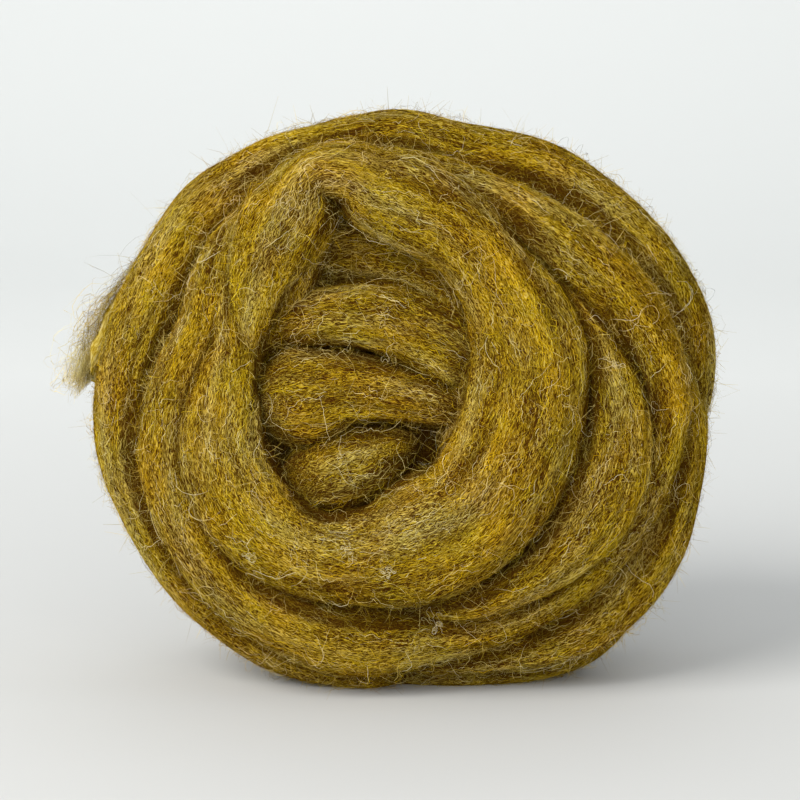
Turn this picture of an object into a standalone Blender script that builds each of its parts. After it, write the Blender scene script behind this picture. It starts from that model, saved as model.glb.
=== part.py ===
"""A nest of wool roving: one soft strand of combed wool wound into a thick round, standing on its rim.

Lengths are in millimetres until a mesh is made, and depth runs away from the front face.
Run with blender --background --python part.py.
"""

import math
from collections import namedtuple

import bmesh
import bpy
from mathutils import Vector, noise

MM = 0.001

# The hole in the front face, that the inner turns go round, and the middle of the rim, that the outer
# ones go round: across and up.
HOLE = (-8.6, 59.4)
MIDDLE = (0.0, 56.8)
# The part's origin as the winding is measured, under the middle of the whole part's box.
ORIGIN = (-2.07, 0.96, 0.0)

# A section of the strand: where it is round its centre, in degrees anticlockwise from +X as the front is
# seen, how far its inner and outer edges are from the centre, how deep its middle lies, and its thickness.
Section = namedtuple("Section", "angle inner outer depth thickness")
# A stretch of the strand that goes round one centre.
Turn = namedtuple("Turn", "name centre sections")
# A section of a fold of the strand's inner end, in the hole: it is measured from the hole's own middle.
FoldSection = namedtuple("FoldSection", "across up depth width thickness")
Fold = namedtuple("Fold", "name sections")

TURNS = (
    Turn("inner", HOLE, (
        Section(172, 17.5, 21.5, -16.0, 11.0),
        Section(158, 19.8, 25.0, -20.5, 14.0),
        Section(145, 21.3, 29.5, -22.5, 16.0),
        Section(132, 23.0, 35.0, -23.5, 18.0),
        Section(119, 25.8, 41.5, -24.5, 19.0),
        Section(109, 30.0, 46.0, -26.0, 20.0),
        Section(101, 38.5, 48.5, -26.5, 20.5),
        Section(93, 38.0, 48.8, -27.0, 21.0),
        Section(85, 33.0, 47.7, -27.0, 21.0),
        Section(75, 30.4, 47.1, -27.5, 21.0),
        Section(60, 29.8, 45.0, -27.5, 21.0),
        Section(45, 27.4, 43.5, -27.5, 21.0),
        Section(30, 24.8, 44.0, -27.5, 21.0),
        Section(15, 22.7, 44.6, -27.5, 21.0),
        Section(0, 20.8, 42.9, -27.5, 21.0),
        Section(-20, 19.2, 42.2, -27.5, 21.0),
        Section(-45, 19.2, 42.3, -27.0, 21.0),
        Section(-65, 18.3, 42.0, -26.5, 21.0),
        Section(-90, 21.6, 39.8, -26.0, 20.0),
        Section(-110, 23.2, 39.6, -25.0, 20.0),
        Section(-135, 21.2, 40.0, -24.5, 19.0),
        Section(-155, 19.8, 38.5, -24.0, 18.5),
        Section(-180, 18.8, 34.5, -23.5, 18.0),
        Section(-200, 21.5, 31.5, -22.5, 17.0),
        Section(-215, 25.5, 35.0, -21.5, 16.5),
        Section(-229, 30.0, 40.0, -20.0, 16.0),
        Section(-242, 33.5, 43.0, -18.0, 15.5),
        Section(-254, 36.0, 45.0, -16.5, 15.0),
        Section(-267, 37.5, 47.0, -16.0, 15.0),
        Section(-285, 37.0, 48.0, -18.0, 16.0),
        Section(-300, 40.0, 49.2, -21.0, 16.0),
        Section(-315, 41.5, 52.5, -22.5, 16.0),
        Section(-330, 44.5, 56.2, -22.6, 16.0),
        Section(-345, 49.5, 61.0, -21.1, 16.0),
        Section(-360, 53.0, 63.6, -19.6, 16.0),
        Section(-378, 54.0, 62.2, -18.6, 16.0),
        Section(-396, 52.0, 60.2, -18.1, 16.0),
        Section(-414, 48.5, 57.5, -18.1, 16.0),
        Section(-432, 43.0, 54.0, -18.6, 16.0),
        Section(-450, 39.8, 54.5, -19.6, 16.0),
        Section(-470, 37.5, 52.0, -20.8, 16.5),
        Section(-495, 34.5, 47.5, -21.6, 17.0),
        Section(-520, 31.5, 44.4, -22.1, 17.0),
        Section(-545, 29.0, 39.6, -22.1, 17.0),
        Section(-565, 29.0, 37.4, -21.1, 16.0),
        Section(-582, 33.0, 40.8, -18.6, 15.0),
        Section(-600, 37.5, 43.5, -12.6, 14.0),
        Section(-618, 38.0, 45.0, -8.6, 13.0),
    )),
    Turn("second", HOLE, (
        Section(60, 36.0, 44.0, -13.0, 14.0),
        Section(35, 39.0, 46.0, -19.6, 16.0),
        Section(15, 42.5, 50.0, -22.6, 17.0),
        Section(-2, 42.7, 55.2, -24.1, 17.0),
        Section(-18, 42.2, 57.4, -24.1, 17.0),
        Section(-32, 42.4, 56.0, -23.6, 17.0),
        Section(-46, 42.3, 52.2, -23.1, 17.0),
        Section(-62, 41.0, 48.8, -21.6, 16.0),
        Section(-80, 36.0, 44.0, -16.6, 15.0),
    )),
    Turn("outer", MIDDLE, (
        Section(272, 46.0, 60.5, -7.5, 18.0),
        Section(255, 46.5, 60.0, -8.0, 18.0),
        Section(240, 48.0, 59.8, -8.0, 18.0),
        Section(225, 48.5, 60.0, -8.0, 18.0),
        Section(210, 49.0, 60.2, -8.0, 18.0),
        Section(195, 49.5, 61.0, -8.0, 18.0),
        Section(180, 47.5, 60.6, -8.0, 18.0),
        Section(165, 45.0, 59.6, -8.0, 18.0),
        Section(150, 44.0, 58.6, -8.0, 18.0),
        Section(135, 45.5, 59.4, -8.0, 18.0),
        Section(120, 47.0, 58.4, -8.0, 18.0),
        Section(105, 46.5, 56.4, -8.0, 18.0),
        Section(90, 44.5, 56.6, -8.0, 18.0),
        Section(76, 42.2, 54.8, -8.0, 18.0),
        Section(60, 44.0, 57.6, -7.5, 18.0),
        Section(45, 45.5, 58.8, -7.0, 18.0),
        Section(30, 48.0, 60.8, -6.5, 18.0),
        Section(15, 50.5, 62.8, -4.5, 17.0),
        Section(2, 50.0, 61.2, -1.5, 16.0),
        Section(-12, 47.0, 58.0, 2.5, 15.0),
    )),
    Turn("lower", MIDDLE, (
        Section(22, 45.0, 55.0, -1.5, 15.0),
        Section(2, 48.0, 58.0, -6.0, 16.0),
        Section(-15, 49.5, 59.8, -9.0, 17.0),
        Section(-30, 50.0, 62.2, -10.0, 17.0),
        Section(-45, 50.5, 62.6, -11.0, 17.0),
        Section(-60, 49.5, 59.2, -12.0, 17.0),
        Section(-76, 47.0, 55.5, -11.5, 16.0),
        Section(-95, 45.0, 55.0, -9.0, 15.0),
    )),
    Turn("rim", MIDDLE, (
        Section(-30, 44.8, 56.8, 4.0, 17.0),
        Section(-45, 49.8, 63.2, 2.0, 17.0),
        Section(-60, 50.8, 64.4, -2.0, 18.0),
        Section(-75, 49.0, 61.2, -4.5, 20.0),
        Section(-90, 48.0, 59.4, -2.5, 20.0),
        Section(-105, 46.5, 59.2, 1.0, 20.0),
        Section(-120, 45.8, 58.3, 4.0, 19.0),
        Section(-165, 43.8, 58.6, 7.0, 18.0),
        Section(-210, 41.8, 56.8, 5.5, 17.0),
        Section(-255, 39.8, 54.8, 5.0, 17.0),
        Section(-285, 37.8, 52.6, 7.0, 18.0),
        Section(-315, 41.8, 55.6, 9.0, 18.0),
        Section(-345, 43.8, 58.6, 9.5, 18.0),
        Section(-380, 43.3, 58.4, 9.0, 18.0),
        Section(-415, 42.0, 57.0, 11.0, 18.0),
        Section(-445, 40.0, 54.0, 14.0, 17.0),
    )),
    Turn("back", MIDDLE, (
        Section(300, 40.0, 54.0, 14.0, 16.0),
        Section(275, 42.5, 58.5, 18.0, 18.0),
        Section(250, 41.0, 56.5, 21.0, 18.0),
        Section(205, 38.5, 53.5, 22.5, 18.0),
        Section(160, 37.5, 52.5, 20.5, 18.0),
        Section(115, 35.0, 50.0, 20.0, 18.0),
        Section(70, 35.0, 50.0, 21.5, 18.0),
        Section(25, 36.0, 52.0, 24.0, 18.0),
        Section(-20, 35.0, 51.0, 25.5, 18.0),
        Section(-65, 31.0, 47.5, 26.5, 18.0),
        Section(-110, 27.0, 43.0, 28.0, 18.0),
        Section(-155, 23.5, 40.0, 29.0, 18.0),
        Section(-200, 21.0, 38.0, 28.5, 18.0),
        Section(-245, 19.0, 36.0, 27.5, 18.0),
        Section(-290, 18.5, 35.5, 28.0, 18.0),
        Section(-335, 18.0, 35.5, 29.0, 18.0),
        Section(-380, 15.5, 33.0, 29.5, 18.0),
        Section(-425, 11.5, 28.0, 29.5, 18.0),
        Section(-470, 8.5, 24.0, 29.0, 18.0),
        Section(-520, 6.5, 21.5, 28.0, 18.0),
        Section(-580, 4.0, 18.5, 26.0, 18.0),
        Section(-650, 1.0, 15.0, 23.0, 17.0),
    )),
)

FOLDS = (
    Fold("deep", (
        FoldSection(-16.0, 21.0, -13.0, 13.0, 14.0),
        FoldSection(-6.0, 28.0, -15.5, 18.0, 15.0),
        FoldSection(8.0, 27.0, -17.0, 16.0, 16.0),
        FoldSection(18.5, 21.0, -19.0, 13.0, 17.0),
        FoldSection(22.0, 9.0, -20.0, 13.0, 18.0),
        FoldSection(22.0, -4.0, -20.0, 12.0, 18.0),
        FoldSection(18.0, -15.0, -19.0, 12.0, 17.0),
    )),
    Fold("hood", (
        FoldSection(-17.5, 6.0, -16.0, 8.0, 14.0),
        FoldSection(-15.0, 15.0, -19.0, 10.0, 16.0),
        FoldSection(-12.5, 25.0, -21.5, 11.0, 17.0),
        FoldSection(-9.0, 34.0, -22.5, 11.0, 17.0),
        FoldSection(-4.0, 41.0, -22.0, 10.0, 16.0),
    )),
    Fold("top", (
        FoldSection(-18.5, 11.5, -17.0, 8.0, 14.0),
        FoldSection(-11.0, 15.2, -20.5, 11.0, 18.0),
        FoldSection(-2.9, 16.3, -21.5, 13.0, 20.0),
        FoldSection(5.7, 15.4, -21.0, 15.5, 20.0),
        FoldSection(13.4, 12.2, -20.5, 16.5, 19.5),
        FoldSection(21.0, 7.5, -20.0, 17.0, 19.0),
        FoldSection(26.0, 2.0, -20.0, 16.0, 18.0),
    )),
    Fold("middle", (
        FoldSection(-21.0, -1.5, -19.0, 14.0, 18.0),
        FoldSection(-16.0, -0.5, -20.5, 19.0, 20.0),
        FoldSection(-9.5, 0.6, -21.0, 19.5, 21.0),
        FoldSection(-2.9, 1.9, -21.0, 16.0, 21.0),
        FoldSection(3.8, 1.6, -21.0, 13.0, 20.0),
        FoldSection(10.5, 0.2, -20.5, 11.0, 19.0),
        FoldSection(17.2, -1.8, -20.0, 10.0, 18.0),
        FoldSection(24.0, -4.5, -19.0, 10.0, 17.0),
    )),
    Fold("bottom", (
        FoldSection(-16.0, -19.0, -17.0, 8.0, 15.0),
        FoldSection(-10.5, -16.4, -19.0, 13.0, 17.0),
        FoldSection(-4.8, -14.3, -20.0, 17.0, 19.0),
        FoldSection(1.9, -12.0, -20.0, 15.5, 19.0),
        FoldSection(7.4, -9.9, -20.0, 11.5, 18.0),
        FoldSection(11.5, -9.6, -19.0, 8.5, 16.0),
    )),
)

# The wound wool behind the turns that show: middle and half sizes of a flattened ball.
HEART_MIDDLE = (0.0, 4.0, 56.5)
HEART_HALF = (53.0, 23.0, 52.0)

# Sections of the strand's outer end, which leaves the rim behind the left side: the angle round the rim's
# middle, how far it has lifted off the wound body, and the depths of its front and back edges.
EndSection = namedtuple("EndSection", "angle lift front back")
LOOSE_END = (
    EndSection(140, 0.0, 13.0, 27.0),
    EndSection(150, 0.6, 11.5, 28.0),
    EndSection(159, 2.6, 11.0, 28.0),
    EndSection(167, 5.6, 12.0, 27.0),
    EndSection(174, 9.0, 14.0, 25.0),
)
END_THICKNESS = 2.0
# How much further round each of the loose end's locks reaches than its last section, in degrees.
LOCKS = (0.0, 5.0, 1.5, 6.5, 3.0, 7.0, 2.0, 4.0, -1.0)
# The power of the way along the loose end at which its locks part.
PARTING = 3
END_STATIONS = 20
# Pieces that touch stay this far apart.
GAP = 0.4
# Further out than all of the wound body.
OUTSIDE = 100.0

RING_SIDES = 24
# The power of the strand's oval section: 2 would make it a plain ellipse.
SQUARENESS = 2.7
# How much wider a strand is than its place, so that it presses into the next one.
PRESS = 1.04
# The distance between a strand's stations, and how many of them its ends are rounded over.
STEP = 3.0
END_ROUNDING = 4
END_FULLNESS = 0.1
# The strand's surface swells and shrinks by this share, over lumps of this size.
LUMP_SIZE = 16.0
LUMP_SHARE = 0.05
# The strand strays from its table by up to this much, over this distance. It starts to at a depth, and
# strays in full further back by the ramp.
WANDER = 3.5
WANDER_SIZE = 28.0
WANDER_FROM = -12.0
WANDER_RAMP = 20.0
SEED = 4

# The bottom is pressed flat by the wool's weight: it bends over this height, and is then cut level.
SAG = 1.5
SAG_CUT = 0.35

VOXEL = 1.1
SMOOTHING_PASSES = 2
KEPT_SHARE = 0.085
WOOL_COLOUR = (0.200, 0.120, 0.012, 1.0)
END_COLOUR = (0.330, 0.225, 0.045, 1.0)


def clear_scene():
    for obj in list(bpy.data.objects):
        bpy.data.objects.remove(obj)


def between(values, place):
    """Reads a smooth curve through the values at a place from 0 to one less than their number."""
    last = len(values) - 1
    k = min(int(place), last - 1)
    t = place - k
    a, b, c, d = (values[min(max(k + i, 0), last)] for i in (-1, 0, 1, 2))
    return b + 0.5 * t * (c - a + t * (2 * a - 5 * b + 4 * c - d + t * (3 * (b - c) + d - a)))


def turn_path(turn):
    """The places of a turn's middle, with the width and thickness there, about a step apart."""
    last = len(turn.sections) - 1
    columns = list(zip(*turn.sections))
    radians = abs(math.radians(columns[0][-1] - columns[0][0]))
    length = radians * (sum(columns[1]) + sum(columns[2])) / 2 / len(turn.sections)
    count = round(length / STEP)
    path = []
    for i in range(count + 1):
        angle, inner, outer, depth, thickness = (between(c, last * i / count) for c in columns)
        radius = (inner + outer) / 2
        across = turn.centre[0] + radius * math.cos(math.radians(angle))
        up = turn.centre[1] + radius * math.sin(math.radians(angle))
        place = Vector((across, depth, up))
        path.append((place + wander(place), (outer - inner) * PRESS, thickness * PRESS))
    return path


def wander(place):
    """How far the winding strays from its table: nothing at the front, and its full reach at the back."""
    reach = WANDER * min(max((place.y - WANDER_FROM) / WANDER_RAMP, 0.0), 1.0)
    return noise.noise_vector(place / WANDER_SIZE) * reach


def fold_path(fold):
    """The places of a fold's middle, with the width and thickness there, about a step apart."""
    last = len(fold.sections) - 1
    columns = list(zip(*fold.sections))
    length = sum(math.dist(a[:2], b[:2]) for a, b in zip(fold.sections, fold.sections[1:]))
    count = round(length / STEP)
    path = []
    for i in range(count + 1):
        across, up, depth, width, thickness = (between(c, last * i / count) for c in columns)
        path.append((Vector((HOLE[0] + across, depth, HOLE[1] + up)), width, thickness))
    return path


def lump(place):
    return 1.0 + LUMP_SHARE * noise.noise(place / LUMP_SIZE)


def sweep(bm, stations):
    """A closed strand of oval section along the stations, with rounded ends."""
    last = len(stations) - 1
    rings = []
    for i, (middle, width, thickness) in enumerate(stations):
        ahead = (stations[min(i + 1, last)][0] - stations[max(i - 1, 0)][0]).normalized()
        outward = Vector((0, 1, 0)).cross(ahead).normalized() * width / 2
        through = ahead.cross(outward).normalized() * thickness / 2
        near_end = min(i, last - i, END_ROUNDING) / END_ROUNDING
        fullness = max(END_FULLNESS, math.sqrt(1 - (1 - near_end) ** 2))
        ring = bmesh.ops.create_circle(bm, segments=RING_SIDES, radius=1.0)["verts"]
        for vert in ring:
            x, y = (math.copysign(abs(c) ** (2 / SQUARENESS), c) for c in vert.co.xy)
            side = (outward * x + through * y) * fullness
            vert.co = middle + side * lump(middle + side)
        rings.append(list(dict.fromkeys(e for v in ring for e in v.link_edges)))
    for a, b in zip(rings, rings[1:]):
        bmesh.ops.bridge_loops(bm, edges=a + b)
    for end in (rings[0], rings[-1]):
        bmesh.ops.edgeloop_fill(bm, edges=end)


def add_heart(bm):
    ball = bmesh.ops.create_icosphere(bm, subdivisions=4, radius=1.0)["verts"]
    for vert in ball:
        vert.co = Vector(c + h * v for c, h, v in zip(HEART_MIDDLE, HEART_HALF, vert.co))


def material(name, colour, roughness):
    made = bpy.data.materials.new(name)
    made.use_nodes = True
    made.diffuse_color = colour
    shader = made.node_tree.nodes["Principled BSDF"]
    shader.inputs["Base Color"].default_value = colour
    shader.inputs["Roughness"].default_value = roughness
    shader.inputs["Metallic"].default_value = 0.0
    return made


def add_object(name, mesh, wool):
    obj = bpy.data.objects.new(name, mesh)
    bpy.context.scene.collection.objects.link(obj)
    mesh.materials.append(wool)
    return obj


def apply_modifiers(obj):
    bpy.context.view_layer.update()
    graph = bpy.context.evaluated_depsgraph_get()
    obj.data = bpy.data.meshes.new_from_object(obj.evaluated_get(graph))
    obj.modifiers.clear()


def remove_crumbs(bm):
    """Leaves only the biggest connected surface."""
    left = set(bm.verts)
    surfaces = []
    while left:
        edge_of_search = [left.pop()]
        surface = list(edge_of_search)
        while edge_of_search:
            vert = edge_of_search.pop()
            new = {e.other_vert(vert) for e in vert.link_edges} & left
            left -= new
            edge_of_search.extend(new)
            surface.extend(new)
        surfaces.append(surface)
    surfaces.sort(key=len)
    crumbs = [v for surface in surfaces[:-1] for v in surface]
    bmesh.ops.delete(bm, geom=crumbs, context="VERTS")


def press_bottom_flat(bm):
    """Bends what is low softly level, and cuts it off flat at the height that it stands at."""
    for vert in bm.verts:
        vert.co.z = MM * (SAG * math.log1p(math.exp(vert.co.z / MM / SAG)) - SAG_CUT)
    everything = bm.verts[:] + bm.edges[:] + bm.faces[:]
    floor = {"plane_co": (0, 0, 0), "plane_no": (0, 0, 1)}
    bmesh.ops.bisect_plane(bm, geom=everything, dist=1e-6, clear_inner=True, **floor)
    rim = [e for e in bm.edges if e.is_boundary]
    bmesh.ops.holes_fill(bm, edges=rim, sides=0)


def wound_roving(wool):
    """The wound strand as one solid: its turns and folds grown together, and pressed flat at the bottom."""
    bm = bmesh.new()
    for turn in TURNS:
        sweep(bm, turn_path(turn))
    for fold in FOLDS:
        sweep(bm, fold_path(fold))
    add_heart(bm)
    bmesh.ops.recalc_face_normals(bm, faces=bm.faces)
    bmesh.ops.scale(bm, vec=(MM, MM, MM), verts=bm.verts)
    mesh = bpy.data.meshes.new("wound_roving")
    bm.to_mesh(mesh)
    obj = add_object("wound_roving", mesh, wool)
    grown = obj.modifiers.new("grown_together", "REMESH")
    grown.mode = "VOXEL"
    grown.voxel_size = VOXEL * MM
    soft = obj.modifiers.new("soft", "SMOOTH")
    soft.iterations = SMOOTHING_PASSES
    fewer = obj.modifiers.new("fewer_faces", "DECIMATE")
    fewer.ratio = KEPT_SHARE
    fewer.use_collapse_triangulate = True
    apply_modifiers(obj)
    bm.clear()
    bm.from_mesh(obj.data)
    remove_crumbs(bm)
    press_bottom_flat(bm)
    bm.to_mesh(obj.data)
    bm.free()
    return obj


def loose_end(nest, wool):
    """The outer end as a thin ragged sheet that lies on the rim, and lifts off it towards its locks."""
    last = len(LOOSE_END) - 1
    columns = list(zip(*LOOSE_END))
    bm = bmesh.new()
    bmesh.ops.create_grid(bm, x_segments=END_STATIONS, y_segments=len(LOCKS) - 1, size=0.5)
    centre = Vector((MIDDLE[0], 0, MIDDLE[1]))
    for vert in bm.verts:
        along = vert.co.x + 0.5
        across = vert.co.y + 0.5
        angle, lift, front, back = (between(c, last * along) for c in columns)
        angle += LOCKS[round(across * (len(LOCKS) - 1))] * along ** PARTING
        depth = front + (back - front) * across
        outward = Vector((math.cos(math.radians(angle)), 0, math.sin(math.radians(angle))))
        middle = centre + Vector((0, depth, 0))
        hit = nest.ray_cast((middle + outward * OUTSIDE) * MM, -outward)[1]
        vert.co = hit + outward * (GAP + lift) * MM
    mesh = bpy.data.meshes.new("loose_end")
    bm.to_mesh(mesh)
    bm.free()
    obj = add_object("loose_end", mesh, wool)
    felt = obj.modifiers.new("felt", "SOLIDIFY")
    felt.thickness = END_THICKNESS * MM
    felt.offset = -1.0
    return obj


def put_on_origin(objects):
    """Measures the meshes from the part's own origin, instead of the winding's."""
    for obj in objects:
        for vert in obj.data.vertices:
            vert.co -= Vector(ORIGIN) * MM


def main():
    clear_scene()
    noise.seed_set(SEED)
    nest = wound_roving(material("wool", WOOL_COLOUR, 0.95))
    end = loose_end(nest, material("end_wool", END_COLOUR, 0.95))
    put_on_origin([nest, end])
    nest.data.shade_smooth()


main()
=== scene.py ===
"""A nest of mustard wool roving: its strand's turns and folds, each in a skin of combed fibres.

The wool is worked out in millimetres. The meshes, the camera, the lights and the floor are in metres.
"""

import math
from collections import namedtuple

import bmesh
import bpy
import numpy as np
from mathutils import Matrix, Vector, noise
from mathutils.bvhtree import BVHTree


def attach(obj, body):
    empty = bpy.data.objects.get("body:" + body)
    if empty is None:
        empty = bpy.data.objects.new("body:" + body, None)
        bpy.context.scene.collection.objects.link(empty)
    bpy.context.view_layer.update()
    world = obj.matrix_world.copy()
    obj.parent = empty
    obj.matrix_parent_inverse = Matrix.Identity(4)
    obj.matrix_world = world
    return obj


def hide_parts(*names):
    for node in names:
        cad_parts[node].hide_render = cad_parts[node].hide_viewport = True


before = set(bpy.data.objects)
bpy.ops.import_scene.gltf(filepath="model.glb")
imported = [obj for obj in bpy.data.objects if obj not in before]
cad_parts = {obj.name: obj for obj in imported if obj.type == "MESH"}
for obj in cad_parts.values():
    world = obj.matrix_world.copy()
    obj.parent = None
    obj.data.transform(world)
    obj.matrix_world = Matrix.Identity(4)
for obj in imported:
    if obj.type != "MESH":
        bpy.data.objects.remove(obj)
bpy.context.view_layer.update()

MM = 0.001
# The middles of the hole in the front face and of the rim, across and up.
HOLE = (-8.6, 59.4)
MIDDLE = (0.0, 56.8)
# The part's origin as the winding is measured.
ORIGIN = (-2.07, 0.96, 0.0)

# A stretch of the strand round a centre. Its sections are the angle in degrees, anticlockwise from +X as
# the front is seen, the inner and outer edges' distances from the centre, the depth and the thickness.
Turn = namedtuple("Turn", "name centre sections")
# A fold of the strand's inner end. Its sections are the places across and up from the hole's middle, the
# depth, the width and the thickness.
Fold = namedtuple("Fold", "name sections")

TURNS = (
    Turn("inner", HOLE, (
        (172, 17.5, 21.5, -16, 11), (158, 19.8, 25, -20.5, 14), (145, 21.3, 29.5, -22.5, 16),
        (132, 23, 35, -23.5, 18), (119, 25.8, 41.5, -24.5, 19), (109, 30, 46, -26, 20),
        (101, 38.5, 48.5, -26.5, 20.5), (93, 38, 48.8, -27, 21), (85, 33, 47.7, -27, 21),
        (75, 30.4, 47.1, -27.5, 21), (60, 29.8, 45, -27.5, 21), (45, 27.4, 43.5, -27.5, 21),
        (30, 24.8, 44, -27.5, 21), (15, 22.7, 44.6, -27.5, 21), (0, 20.8, 42.9, -27.5, 21),
        (-20, 19.2, 42.2, -27.5, 21), (-45, 19.2, 42.3, -27, 21), (-65, 18.3, 42, -26.5, 21),
        (-90, 21.6, 39.8, -26, 20), (-110, 23.2, 39.6, -25, 20), (-135, 21.2, 40, -24.5, 19),
        (-155, 19.8, 38.5, -24, 18.5), (-180, 18.8, 34.5, -23.5, 18), (-200, 21.5, 31.5, -22.5, 17),
        (-215, 25.5, 35, -21.5, 16.5), (-229, 30, 40, -20, 16), (-242, 33.5, 43, -18, 15.5),
        (-254, 36, 45, -16.5, 15), (-267, 37.5, 47, -16, 15), (-285, 37, 48, -18, 16),
        (-300, 40, 49.2, -21, 16), (-315, 41.5, 52.5, -22.5, 16), (-330, 44.5, 56.2, -22.6, 16),
        (-345, 49.5, 61, -21.1, 16), (-360, 53, 63.6, -19.6, 16), (-378, 54, 62.2, -18.6, 16),
        (-396, 52, 60.2, -18.1, 16), (-414, 48.5, 57.5, -18.1, 16), (-432, 43, 54, -18.6, 16),
        (-450, 39.8, 54.5, -19.6, 16), (-470, 37.5, 52, -20.8, 16.5), (-495, 34.5, 47.5, -21.6, 17),
        (-520, 31.5, 44.4, -22.1, 17), (-545, 29, 39.6, -22.1, 17), (-565, 29, 37.4, -21.1, 16),
        (-582, 33, 40.8, -18.6, 15), (-600, 37.5, 43.5, -12.6, 14), (-618, 38, 45, -8.6, 13),
    )),
    Turn("second", HOLE, (
        (60, 36, 44, -13, 14), (35, 39, 46, -19.6, 16), (15, 42.5, 50, -22.6, 17),
        (-2, 42.7, 55.2, -24.1, 17), (-18, 42.2, 57.4, -24.1, 17), (-32, 42.4, 56, -23.6, 17),
        (-46, 42.3, 52.2, -23.1, 17), (-62, 41, 48.8, -21.6, 16), (-80, 36, 44, -16.6, 15),
    )),
    Turn("outer", MIDDLE, (
        (272, 46, 60.5, -7.5, 18), (255, 46.5, 60, -8, 18), (240, 48, 59.8, -8, 18),
        (225, 48.5, 60, -8, 18), (210, 49, 60.2, -8, 18), (195, 49.5, 61, -8, 18),
        (180, 47.5, 60.6, -8, 18), (165, 45, 59.6, -8, 18), (150, 44, 58.6, -8, 18),
        (135, 45.5, 59.4, -8, 18), (120, 47, 58.4, -8, 18), (105, 46.5, 56.4, -8, 18),
        (90, 44.5, 56.6, -8, 18), (76, 42.2, 54.8, -8, 18), (60, 44, 57.6, -7.5, 18),
        (45, 45.5, 58.8, -7, 18), (30, 48, 60.8, -6.5, 18), (15, 50.5, 62.8, -4.5, 17),
        (2, 50, 61.2, -1.5, 16), (-12, 47, 58, 2.5, 15),
    )),
    Turn("lower", MIDDLE, (
        (22, 45, 55, -1.5, 15), (2, 48, 58, -6, 16), (-15, 49.5, 59.8, -9, 17),
        (-30, 50, 62.2, -10, 17), (-45, 50.5, 62.6, -11, 17), (-60, 49.5, 59.2, -12, 17),
        (-76, 47, 55.5, -11.5, 16), (-95, 45, 55, -9, 15),
    )),
    Turn("rim", MIDDLE, (
        (-30, 44.8, 56.8, 4, 17), (-45, 49.8, 63.2, 2, 17), (-60, 50.8, 64.4, -2, 18),
        (-75, 49, 61.2, -4.5, 20), (-90, 48, 59.4, -2.5, 20), (-105, 46.5, 59.2, 1, 20),
        (-120, 45.8, 58.3, 4, 19), (-165, 43.8, 58.6, 7, 18), (-210, 41.8, 56.8, 5.5, 17),
        (-255, 39.8, 54.8, 5, 17), (-285, 37.8, 52.6, 7, 18), (-315, 41.8, 55.6, 9, 18),
        (-345, 43.8, 58.6, 9.5, 18), (-380, 43.3, 58.4, 9, 18), (-415, 42, 57, 11, 18),
        (-445, 40, 54, 14, 17),
    )),
    Turn("back", MIDDLE, (
        (300, 40, 54, 14, 16), (275, 42.5, 58.5, 18, 18), (250, 41, 56.5, 21, 18),
        (205, 38.5, 53.5, 22.5, 18), (160, 37.5, 52.5, 20.5, 18), (115, 35, 50, 20, 18),
        (70, 35, 50, 21.5, 18), (25, 36, 52, 24, 18), (-20, 35, 51, 25.5, 18),
        (-65, 31, 47.5, 26.5, 18), (-110, 27, 43, 28, 18), (-155, 23.5, 40, 29, 18),
        (-200, 21, 38, 28.5, 18), (-245, 19, 36, 27.5, 18), (-290, 18.5, 35.5, 28, 18),
        (-335, 18, 35.5, 29, 18), (-380, 15.5, 33, 29.5, 18), (-425, 11.5, 28, 29.5, 18),
        (-470, 8.5, 24, 29, 18), (-520, 6.5, 21.5, 28, 18), (-580, 4, 18.5, 26, 18),
        (-650, 1, 15, 23, 17),
    )),
)

FOLDS = (
    Fold("deep", (
        (-16, 21, -13, 13, 14), (-6, 28, -15.5, 18, 15), (8, 27, -17, 16, 16), (18.5, 21, -19, 13, 17),
        (22, 9, -20, 13, 18), (22, -4, -20, 12, 18), (18, -15, -19, 12, 17),
    )),
    Fold("hood", (
        (-17.5, 6, -16, 8, 14), (-15, 15, -19, 10, 16), (-12.5, 25, -21.5, 11, 17),
        (-9, 34, -22.5, 11, 17), (-4, 41, -22, 10, 16),
    )),
    Fold("top", (
        (-18.5, 11.5, -17, 8, 14), (-11, 15.2, -20.5, 11, 18), (-2.9, 16.3, -21.5, 13, 20),
        (5.7, 15.4, -21, 15.5, 20), (13.4, 12.2, -20.5, 16.5, 19.5), (21, 7.5, -20, 17, 19),
        (26, 2, -20, 16, 18),
    )),
    Fold("middle", (
        (-21, -1.5, -19, 14, 18), (-16, -0.5, -20.5, 19, 20), (-9.5, 0.6, -21, 19.5, 21),
        (-2.9, 1.9, -21, 16, 21), (3.8, 1.6, -21, 13, 20), (10.5, 0.2, -20.5, 11, 19),
        (17.2, -1.8, -20, 10, 18), (24, -4.5, -19, 10, 17),
    )),
    Fold("bottom", (
        (-16, -19, -17, 8, 15), (-10.5, -16.4, -19, 13, 17), (-4.8, -14.3, -20, 17, 19),
        (1.9, -12, -20, 15.5, 19), (7.4, -9.9, -20, 11.5, 18), (11.5, -9.6, -19, 8.5, 16),
    )),
)

# The wound wool behind the turns that show: middle and half sizes of a flattened ball.
HEART_MIDDLE = (0.0, 4.0, 56.5)
HEART_HALF = (53.0, 23.0, 52.0)

# Sections of the strand's outer end, behind the left side: the angle round the rim's middle, the lift off
# the wound body, and the depths of the front and back edges.
LOOSE_END = (
    (140, 0.0, 13.0, 27.0),
    (150, 0.6, 11.5, 28.0),
    (159, 2.6, 11.0, 28.0),
    (167, 5.6, 12.0, 27.0),
    (174, 9.0, 14.0, 25.0),
)
# How much further round each of its locks reaches, in degrees, and the power of the way at which they part.
LOCKS = (0.0, 5.0, 1.5, 6.5, 3.0, 7.0, 2.0, 4.0, -1.0)
PARTING = 3

# The power of the strand's oval section: 2 would make it a plain ellipse.
SQUARENESS = 2.7
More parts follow.
